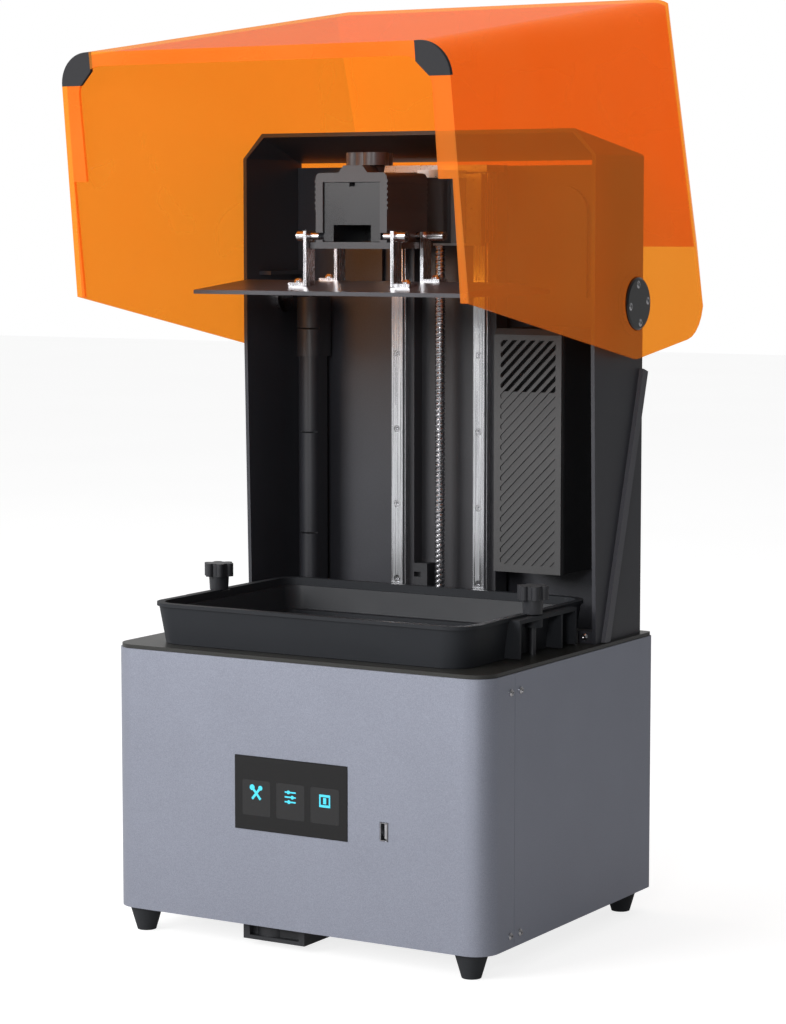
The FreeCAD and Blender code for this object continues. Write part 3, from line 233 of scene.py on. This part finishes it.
PAINT = metallic_paint("paint_silver_blue", (150, 154, 168))
LOOKS = {
    PAINT: ["base_front_panel", "base_rear_shell"],
    moulded("deck_black", (44, 44, 42), 0.34, coat=0.1): ["top_deck"],
    moulded("shell_dark", (52, 53, 59), 0.42, 0.0008): ["tower_shell", "tower_back_cover"],
    moulded("conduit_black", (46, 47, 52), 0.38, 0.0007): ["cable_conduit"],
    moulded("seal_grey", (84, 84, 90), 0.45): ["seal_strips"],
    moulded("rubber_black", (34, 36, 40), 0.7, 0.0009, 0.00008): ["feet"],
    moulded("plastic_black", (40, 41, 45), 0.5): [
        "fan_duct", "switch_body", "power_inlet", "exhaust_fan_frame", "exhaust_fan_rotor",
        "power_rocker", "limit_sensor", "lcd_carrier", "light_engine_case", "purifier_fan_rotor"],
    moulded("purifier_black", (34, 35, 37), 0.48): ["purifier_case"],
    moulded("grille_charcoal", (66, 66, 67), 0.5): ["purifier_grille"],
    moulded("filter_felt", (30, 30, 31), 0.9, 0.0014, 0.0004, 0.5): ["carbon_filter"],
    moulded("arm_black", (32, 33, 37), 0.3, 0.0005, 0.00002, coat=0.2): ["lift_arm"],
    moulded("sleeve_charcoal", (56, 57, 61), 0.4): ["plate_sleeve"],
    moulded("knob_charcoal", (70, 71, 75), 0.38): ["clamp_knob"],
    moulded("vat_knob_black", (44, 45, 49), 0.36): ["vat_knob_left", "vat_knob_right"],
    moulded("vat_black", (40, 42, 46), 0.5, 0.0004, 0.00002, 0.12, gloss=0.22): ["vat"],
    moulded("plate_dark", (66, 66, 72), 0.34, 0.0005, 0.00002, 0.2, 0.1): ["build_plate"],
    moulded("pad_grey", (44, 44, 47), 0.65, gloss=0.3): ["lid_corner_pads"],
    moulded("disc_black", (22, 22, 25), 0.16, 0.0008, 0.00001, 0.1, 0.6): ["hinge_discs"],
    moulded("frame_grey", (52, 52, 56), 0.42): ["z_frame"],
    moulded("motor_black", (30, 30, 32), 0.4): ["z_motor"],
    metal("block_grey", (150, 150, 154), 0.32): ["top_bearing_block"],
    metal("zinc", (176, 178, 180), 0.34, size=0.004): [
        "base_floor", "motor_bracket", "carriage_plate", "power_supply"],
    metal("screw_steel", (205, 205, 208), 0.18, size=0.0006): [
        "case_screws", "rail_screws", "leveling_screws", "hinge_disc_screws", "hinge_pins", "film_frame"],
    metal("ground_steel", (205, 206, 210), 0.24, (1, 1, 0.01), 0.0009, 0.04): [
        "linear_rails", "rail_blocks"],
    metal("bracket_steel", (206, 206, 210), 0.22, (1, 1, 0.05), 0.0008): ["plate_brackets", "usb_port"],
    metal("fin_aluminium", (190, 192, 196), 0.32, (1, 0.05, 1), 0.001): ["heat_sink", "shaft_coupler"],
    metal("brass", (196, 160, 88), 0.25): ["lead_nut"],
    display("screen_black", (22, 22, 23)): ["touch_screen"],
    display("mask_film", (24, 24, 30)): ["lcd_panel"],
    clear_sheet("glass_clear", (60, 66, 74), 0.2): ["lcd_glass", "collimating_lens"],
    clear_sheet("film_clear", (70, 74, 82), 0.12): ["release_film"],
    circuit("circuit_board"): ["screen_module", "mainboard", "led_board"],
    acrylic("acrylic_orange"): ["lid_shell"],
}
for material, nodes in LOOKS.items():
    for node in nodes:
        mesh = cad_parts[node].data
        mesh.materials.clear()
        mesh.materials.append(material)


# ---------------------------------------------------------------- pieces
def piece(name, bm, material, body):
    bmesh.ops.recalc_face_normals(bm, faces=bm.faces)
    mesh = bpy.data.meshes.new(name)
    bm.to_mesh(mesh)
    bm.free()
    mesh.materials.append(material)
    obj = bpy.data.objects.new(name, mesh)
    bpy.context.scene.collection.objects.link(obj)
    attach(obj, body)
    return obj


def plaque(bm, outline, front, thick):
    """Closed flat shape from an (x, z) outline, standing proud of the front face."""
    verts = [bm.verts.new((x, front, z)) for x, z in outline]
    face = bm.faces.new(verts)
    extruded = bmesh.ops.extrude_face_region(bm, geom=[face])
    moved = [e for e in extruded["geom"] if isinstance(e, bmesh.types.BMVert)]
    bmesh.ops.translate(bm, verts=moved, vec=(0, -thick, 0))


def round_rect(cx, cz, w, h, r):
    points = []
    for ax, az, start in ((1, 1, 0), (-1, 1, 90), (-1, -1, 180), (1, -1, 270)):
        for step in range(6):
            a = math.radians(start + step * 18)
            points.append((cx + ax * (w / 2 - r) + r * math.cos(a), cz + az * (h / 2 - r) + r * math.sin(a)))
    return points


def bar(cx, cz, length, width, degrees):
    a = math.radians(degrees)
    ux, uz = math.cos(a), math.sin(a)
    out = []
    for sl, sw in ((-1, -1), (1, -1), (1, 1), (-1, 1)):
        x = sl * length / 2
        w = sw * width / 2
        out.append((cx + ux * x - uz * w, cz + uz * x + ux * w))
    return out


def disc(cx, cz, r):
    return [(cx + r * math.cos(i * math.pi / 8), cz + r * math.sin(i * math.pi / 8)) for i in range(16)]


TILE_W, TILE_H, TILE_CORNER = 0.0245, 0.0265, 0.0015
PRINT_THICK = 0.00006

low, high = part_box("touch_screen")
SCREEN_Y = low.y
MID_Z = low.z + (high.z - low.z) * 0.44
WIDTH = high.x - low.x
COLUMNS = [low.x + WIDTH * f for f in (0.195, 0.50, 0.805)]

tiles = bmesh.new()
for x in COLUMNS:
    plaque(tiles, round_rect(x, MID_Z, TILE_W, TILE_H, TILE_CORNER), SCREEN_Y + 0.00001, PRINT_THICK)
piece("screen_tiles", tiles, display("tile_dark", (41, 41, 42), 0.02), "base")

icons = bmesh.new()
FACE = SCREEN_Y - 0.00004
ICON_Z = MID_Z + 0.0035
x = COLUMNS[0]
for angle in (50, 130):
    plaque(icons, bar(x, ICON_Z, 0.0115, 0.0019, angle), FACE - (0.00002 if angle > 90 else 0), PRINT_THICK)
plaque(icons, disc(x - 0.0036, ICON_Z + 0.0042, 0.0022), FACE - 0.00004, PRINT_THICK)
plaque(icons, disc(x + 0.0036, ICON_Z + 0.0042, 0.0018), FACE - 0.00004, PRINT_THICK)
x = COLUMNS[1]
for row, knob in ((0.0036, -0.0016), (0.0, 0.0018), (-0.0036, -0.0012)):
    plaque(icons, bar(x, ICON_Z + row, 0.0096, 0.0011, 0), FACE, PRINT_THICK)
    plaque(icons, disc(x + knob, ICON_Z + row, 0.0014), FACE - 0.00002, PRINT_THICK)
x = COLUMNS[2]
for cx, cz, length, width in ((0, 0.0040, 0.0094, 0.0018), (0, -0.0036, 0.0094, 0.0018),
                              (-0.0041, 0.0, 0.0012, 0.0060), (0.0041, 0.0, 0.0012, 0.0060),
                              (0, 0.0003, 0.0026, 0.0046)):
    plaque(icons, bar(x + cx, ICON_Z + cz, length, width, 0), FACE - 0.00001 * (abs(cz) > 0.002), PRINT_THICK)
piece("screen_icons", icons, display("icon_cyan", (72, 194, 218), 0.5), "base")


THREAD_LEAD, THREAD_DEPTH, THREAD_STEP = 0.004, 0.0006, 0.0005
JOURNAL_R, JOURNAL_LENGTH = 0.0025, 0.0059
ROD_SIDES = 24


def threaded_rod():
    """The lead screw as a turned rod with a right-hand thread, inside the plain shaft's radius."""
    low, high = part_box("lead_screw")
    cx, cy = (low.x + high.x) / 2, (low.y + high.y) / 2
    outer = (high.x - low.x) / 2
    start = low.z + JOURNAL_LENGTH
    rings = int((high.z - start) / THREAD_STEP)
    bm = bmesh.new()
    previous = None
    first = None
    heights = [(low.z, JOURNAL_R), (start, JOURNAL_R)]
    heights += [(start + i * (high.z - start) / rings, None) for i in range(rings + 1)]
    for z, fixed in heights:
        ring = []
        for side in range(ROD_SIDES):
            a = 2 * math.pi * side / ROD_SIDES
            phase = ((z - start) / THREAD_LEAD - a / (2 * math.pi)) % 1.0
            groove = max(0.0, min(1.0, (abs(phase - 0.5) - 0.14) / 0.12))
            r = fixed if fixed else outer - THREAD_DEPTH * (1 - groove)
            ring.append(bm.verts.new((cx + r * math.cos(a), cy + r * math.sin(a), z)))
        if previous:
            for i in range(ROD_SIDES):
                j = (i + 1) % ROD_SIDES
                bm.faces.new((previous[i], previous[j], ring[j], ring[i]))
        else:
            first = ring
        previous = ring
    bm.faces.new(first)
    bm.faces.new(previous)
    steel = metal("screw_polished", (188, 188, 192), 0.2, (0.3, 0.3, 1), 0.0008)
    rod = piece("lead_screw_threaded", bm, steel, "screw")
    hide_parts("lead_screw")


threaded_rod()


# ---------------------------------------------------------------- studio
def floor_material():
    """Pale floor, brighter for rays straight from the camera, that still takes a soft shadow."""
    m = Maker("floor_pale")
    broad = m.noise(0.5, 2.0)
    m.put(Base_Color=m.ramp(broad, (0.36, 0.36, 0.36, 1), (0.38, 0.38, 0.38, 1)))
    m.put(Roughness=m.span(m.noise(0.01), 0.8, 0.9), Specular_IOR_Level=0.05)
    path = m.tree.nodes.new("ShaderNodeLightPath")
    m.put(Emission_Color=(1.0, 1.0, 1.0, 1.0))
    m.put(Emission_Strength=m.span(path.outputs["Is Camera Ray"], 0.10, 0.80, 0.0, 1.0))
    return m.mat


FLOOR_HALF, FLOOR_DROP = 9.0, 0.0002


def add_floor():
    bm = bmesh.new()
    bmesh.ops.create_grid(bm, x_segments=2, y_segments=2, size=FLOOR_HALF)
    mesh = bpy.data.meshes.new("floor")
    bm.to_mesh(mesh)
    bm.free()
    mesh.materials.append(floor_material())
    floor = bpy.data.objects.new("floor", mesh)
    floor.location.z = -FLOOR_DROP
    bpy.context.scene.collection.objects.link(floor)


def add_world():
    """Soft light that falls off from left to right; straight from the camera it is plain white."""
    world = bpy.data.worlds.new("studio")
    bpy.context.scene.world = world
    world.use_nodes = True
    tree = world.node_tree
    soft = tree.nodes["Background"]
    soft.inputs["Color"].default_value = (1.0, 1.0, 1.0, 1)
    ways = tree.nodes.new("ShaderNodeSeparateXYZ")
    fall = tree.nodes.new("ShaderNodeMapRange")
    for key, value in (("From Min", -0.9), ("From Max", 0.8), ("To Min", 0.62), ("To Max", 0.14)):
        fall.inputs[key].default_value = value
    tree.links.new(tree.nodes.new("ShaderNodeTexCoord").outputs["Generated"], ways.inputs["Vector"])
    tree.links.new(ways.outputs["X"], fall.inputs["Value"])
    tree.links.new(fall.outputs["Result"], soft.inputs["Strength"])
    white = tree.nodes.new("ShaderNodeBackground")
    white.inputs["Color"].default_value = (1.0, 1.0, 1.0, 1)
    path = tree.nodes.new("ShaderNodeLightPath")
    pick = tree.nodes.new("ShaderNodeMixShader")
    tree.links.new(path.outputs["Is Camera Ray"], pick.inputs["Fac"])
    tree.links.new(soft.outputs["Background"], pick.inputs[1])
    tree.links.new(white.outputs["Background"], pick.inputs[2])
    tree.links.new(pick.outputs["Shader"], tree.nodes["World Output"].inputs["Surface"])


LAMPS = (  # name, place, size, power
    ("key", (-1.4, -2.6, 1.6), 1.6, 78),
    ("edge", (0.9, -2.4, 0.9), 0.4, 14),
    ("top", (-0.3, 0.2, 2.4), 1.8, 8),
    ("rear", (-2.2, -0.1, 1.3), 1.2, 20),
)
LAMP_TARGET = Vector((0, 0, 0.35))


def add_lamps():
    for name, place, size, power in LAMPS:
        light = bpy.data.lights.new(name, "AREA")
        light.size = size
        light.energy = power
        obj = bpy.data.objects.new(name, light)
        obj.location = place
        aim = LAMP_TARGET - Vector(place)
        obj.rotation_euler = aim.to_track_quat("-Z", "Y").to_euler()
        bpy.context.scene.collection.objects.link(obj)


add_floor()
add_world()
add_lamps()

AZIMUTH, ELEVATION = math.radians(30.869), math.radians(5.712)
CAMERA_PLACE = (1.14079, -1.89867, 0.53888)
LENS_MM = 102.26
camera = bpy.data.cameras.new("camera")
camera.lens = LENS_MM
camera.sensor_width = 36.0
camera.clip_end = 60.0
camera_object = bpy.data.objects.new("camera", camera)
camera_object.location = CAMERA_PLACE
back = Vector((math.sin(AZIMUTH) * math.cos(ELEVATION), -math.cos(AZIMUTH) * math.cos(ELEVATION),
               math.sin(ELEVATION)))
camera_object.rotation_euler = (-back).to_track_quat("-Z", "Y").to_euler()
bpy.context.scene.collection.objects.link(camera_object)
bpy.context.scene.camera = camera_object
bpy.context.scene.view_settings.view_transform = "Standard"

bpy.context.view_layer.update()
